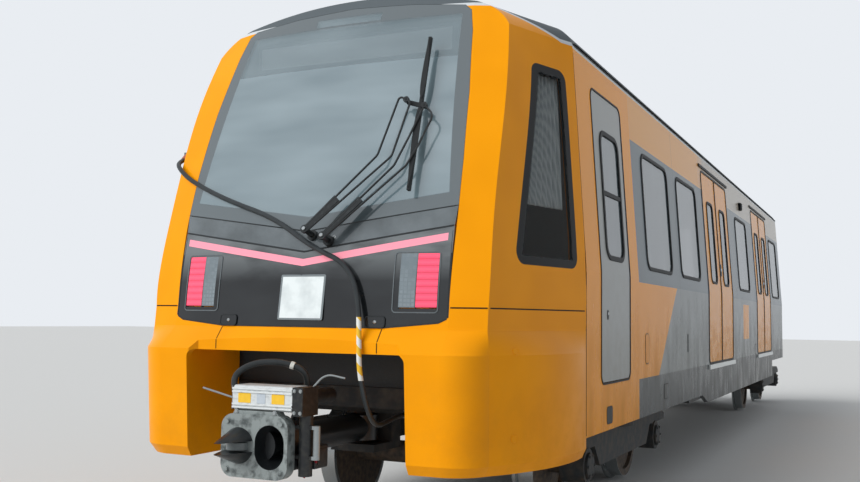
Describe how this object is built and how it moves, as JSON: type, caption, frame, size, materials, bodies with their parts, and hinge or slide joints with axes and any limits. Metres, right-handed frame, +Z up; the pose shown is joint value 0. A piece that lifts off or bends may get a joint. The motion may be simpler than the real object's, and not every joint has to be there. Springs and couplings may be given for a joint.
{
  "type": "metro car",
  "caption": "Leading metro car with a driver's cab, plug doors, a coupler in its nose, a bogie behind the cab and a shared bogie at its inner end; it runs on rails.",
  "frame": {"origin": "centre of the bounding box in plan, level with the wheels' flange tips; the top of the rail is at z = 0.028 m", "axes": "-Y forwards, +Y along the car towards its inner end, +X the car's left side, +Z up"},
  "size_m": [2.686, 14.798, 3.4448],
  "materials": {
    "mask_paint": "gloss",
    "side_paint": "semi-gloss",
    "roof_paint": "matte",
    "door_paint": "gloss",
    "cab_door_paint": "semi-gloss",
    "window_glass": "clear",
    "screen_glass": "clear",
    "cowl_black": "gloss",
    "panel_black": "gloss",
    "lamp_red": "clear",
    "lamp_clear": "clear",
    "strip_lens": "clear",
    "underframe_paint": "matte",
    "wall_lining": "satin",
    "desk_plastic": "matte",
    "seat_fabric": "woven",
    "seat_plastic": "satin",
    "pole_paint": "gloss",
    "case_paint": "matte",
    "sill_aluminium": "brushed",
    "bogie_paint": "matte",
    "wheel_steel": "rolled",
    "coupler_cast": "painted",
    "electric_box": "satin",
    "wiper_metal": "satin",
    "wiper_rubber": "matte",
    "cable_rubber": "matte",
    "hose_rubber": "matte",
    "gear_black": "matte",
    "socket_black": "matte",
    "bellows_rubber": "matte"
  },
  "bodies": {
    "car": {"cab_mask": "mask_paint", "bumper_left": "mask_paint", "bumper_right": "mask_paint", "bumper_centre": "mask_paint", "body_side_left": "side_paint", "body_side_right": "side_paint", "saloon_glass": "window_glass", "passenger_doors_left": "door_paint", "passenger_doors_right": "door_paint", "roof": "roof_paint", "end_wall": "side_paint", "gangway_bellows": "bellows_rubber", "cab_side_glass": "window_glass", "windscreen": "screen_glass", "wiper_cowl": "cowl_black", "light_panel": "panel_black", "tail_lamps": "lamp_red", "head_lamps": "lamp_clear", "light_strip": "strip_lens", "underframe": "underframe_paint", "cab_partition": "wall_lining", "ceiling": "wall_lining", "cab_desk": "desk_plastic", "driver_seat": "seat_fabric", "saloon_seats": "seat_plastic", "grab_poles": "pole_paint", "underfloor_cases": "case_paint", "roof_units": "case_paint", "door_sills": "sill_aluminium", "wiper_spindle": "wiper_metal", "jumper_cable": "cable_rubber", "cable_sockets": "socket_black"},
    "cab_door_left": {"cab_door_left": "cab_door_paint", "cab_door_glass_left": "window_glass"},
    "cab_door_right": {"cab_door_right": "cab_door_paint", "cab_door_glass_right": "window_glass"},
    "front_bogie": {"front_bogie_frame": "bogie_paint"},
    "wheels_1": {"front_bogie_front_wheels": "wheel_steel"},
    "wheels_2": {"front_bogie_rear_wheels": "wheel_steel"},
    "rear_bogie": {"rear_bogie_frame": "bogie_paint"},
    "wheels_3": {"rear_bogie_front_wheels": "wheel_steel"},
    "wheels_4": {"rear_bogie_rear_wheels": "wheel_steel"},
    "coupler": {"coupler_head": "coupler_cast", "electric_coupler": "electric_box", "coupler_gear": "gear_black", "coupler_hose": "hose_rubber"},
    "wiper_arm": {"wiper_arm": "wiper_metal"},
    "wiper_second_arm": {"wiper_second_arm": "wiper_metal"},
    "wiper_blade": {"wiper_blade": "wiper_rubber"}
  },
  "joints": [
    {"name": "cab_door_left_hinge", "type": "hinge", "parent": "car", "child": "cab_door_left", "pos_m": [1.175, -4.669, 0.978], "axis": [0, 0, -1], "range_deg": [0, 90]},
    {"name": "cab_door_right_hinge", "type": "hinge", "parent": "car", "child": "cab_door_right", "pos_m": [-1.175, -4.669, 0.978], "axis": [0, 0, 1], "range_deg": [0, 90]},
    {"name": "front_bogie_turn", "type": "hinge", "parent": "car", "child": "front_bogie", "pos_m": [0, -3.799, 0.5], "axis": [0, 0, 1], "range_deg": [-4, 4]},
    {"name": "rear_bogie_turn", "type": "hinge", "parent": "car", "child": "rear_bogie", "pos_m": [0, 5.951, 0.5], "axis": [0, 0, 1], "range_deg": [-4, 4]},
    {"name": "wheels_1_spin", "type": "hinge", "parent": "front_bogie", "child": "wheels_1", "pos_m": [0, -4.849, 0.398], "axis": [1, 0, 0], "continuous": true},
    {"name": "wheels_2_spin", "type": "hinge", "parent": "front_bogie", "child": "wheels_2", "pos_m": [0, -2.749, 0.398], "axis": [1, 0, 0], "continuous": true},
    {"name": "wheels_3_spin", "type": "hinge", "parent": "rear_bogie", "child": "wheels_3", "pos_m": [0, 4.901, 0.398], "axis": [1, 0, 0], "continuous": true},
    {"name": "wheels_4_spin", "type": "hinge", "parent": "rear_bogie", "child": "wheels_4", "pos_m": [0, 7.001, 0.398], "axis": [1, 0, 0], "continuous": true},
    {"name": "coupler_swing", "type": "hinge", "parent": "car", "child": "coupler", "pos_m": [0, -6.079, 0.714], "axis": [0, 0, 1], "range_deg": [-15, 15]},
    {"name": "wiper_sweep", "type": "hinge", "parent": "car", "child": "wiper_arm", "pos_m": [0.045, -6.83722, 1.86226], "axis": [0, -0.9494, 0.314], "range_deg": [0, 65]},
    {"name": "wiper_second_sweep", "type": "hinge", "parent": "car", "child": "wiper_second_arm", "pos_m": [0.155, -6.84821, 1.82903], "axis": [0, -0.9494, 0.314], "range_deg": [0, 65]},
    {"name": "wiper_blade_turn", "type": "hinge", "parent": "wiper_arm", "child": "wiper_blade", "pos_m": [0.54, -6.59325, 2.59996], "axis": [0, -0.9494, 0.314], "range_deg": [-65, 0]}
  ],
  "couplings": [
    {"joint": "wiper_second_sweep", "follows": "wiper_sweep", "ratio": 1},
    {"joint": "wiper_blade_turn", "follows": "wiper_sweep", "ratio": -1}
  ]
}
